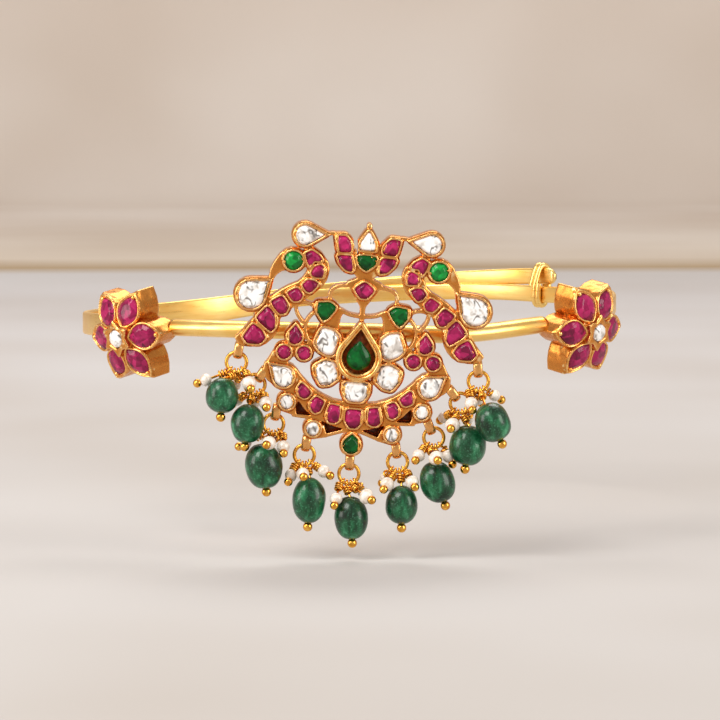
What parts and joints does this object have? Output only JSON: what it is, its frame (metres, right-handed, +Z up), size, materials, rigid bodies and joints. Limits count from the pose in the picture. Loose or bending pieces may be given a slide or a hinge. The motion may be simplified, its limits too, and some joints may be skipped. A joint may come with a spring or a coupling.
{
  "type": "jewelled upper-arm band",
  "caption": "Open gilt arm band of half-round wire and flat straps with a peacock and lotus pendant, two flowers and a fringe of green bead and pearl drops.",
  "frame": {"origin": "centre of the band, where the upper arm passes through", "axes": "+Z up along the arm, -Y towards the wearer's outer side, where the pendant faces, +X to the viewer's right"},
  "size_m": [0.091, 0.101, 0.0522],
  "materials": {
    "cast_gold": "satin",
    "band_gold": "satin",
    "wire_gold": "polished",
    "ruby": "polished",
    "emerald": "polished",
    "polki": "polished",
    "green_bead": "polished",
    "pearl": "satin"
  },
  "bodies": {
    "root": {"pendant_frame": "cast_gold", "flower_left_cup": "cast_gold", "flower_right_cup": "cast_gold", "front_wire": "band_gold", "left_strap": "band_gold", "right_strap": "band_gold", "left_wrap": "band_gold", "right_wrap": "band_gold", "flower_left_rubies": "ruby", "flower_right_rubies": "ruby", "kite_ruby": "ruby", "lotus_rubies": "ruby", "neck_rubies_left": "ruby", "neck_rubies_right": "ruby", "trefoil_rubies_left": "ruby", "trefoil_rubies_right": "ruby", "crescent_rubies": "ruby", "center_emerald": "emerald", "bottom_emerald": "emerald", "lotus_emerald": "emerald", "leaf_emeralds": "emerald", "eye_emeralds": "emerald", "flower_left_polki": "polki", "flower_right_polki": "polki", "lotus_polki": "polki", "crest_polki": "polki", "wing_polki": "polki", "petal_polki": "polki", "crescent_polki": "polki", "rim_polki": "polki", "drop_1_bead": "green_bead", "drop_1_findings": "wire_gold", "drop_1_pearls": "pearl", "drop_2_bead": "green_bead", "drop_2_findings": "wire_gold", "drop_2_pearls": "pearl", "drop_3_bead": "green_bead", "drop_3_findings": "wire_gold", "drop_3_pearls": "pearl", "drop_4_bead": "green_bead", "drop_4_findings": "wire_gold", "drop_4_pearls": "pearl", "drop_5_bead": "green_bead", "drop_5_findings": "wire_gold", "drop_5_pearls": "pearl", "drop_6_bead": "green_bead", "drop_6_findings": "wire_gold", "drop_6_pearls": "pearl", "drop_7_bead": "green_bead", "drop_7_findings": "wire_gold", "drop_7_pearls": "pearl", "drop_8_bead": "green_bead", "drop_8_findings": "wire_gold", "drop_8_pearls": "pearl", "drop_9_bead": "green_bead", "drop_9_findings": "wire_gold", "drop_9_pearls": "pearl"}
  },
  "joints": []
}
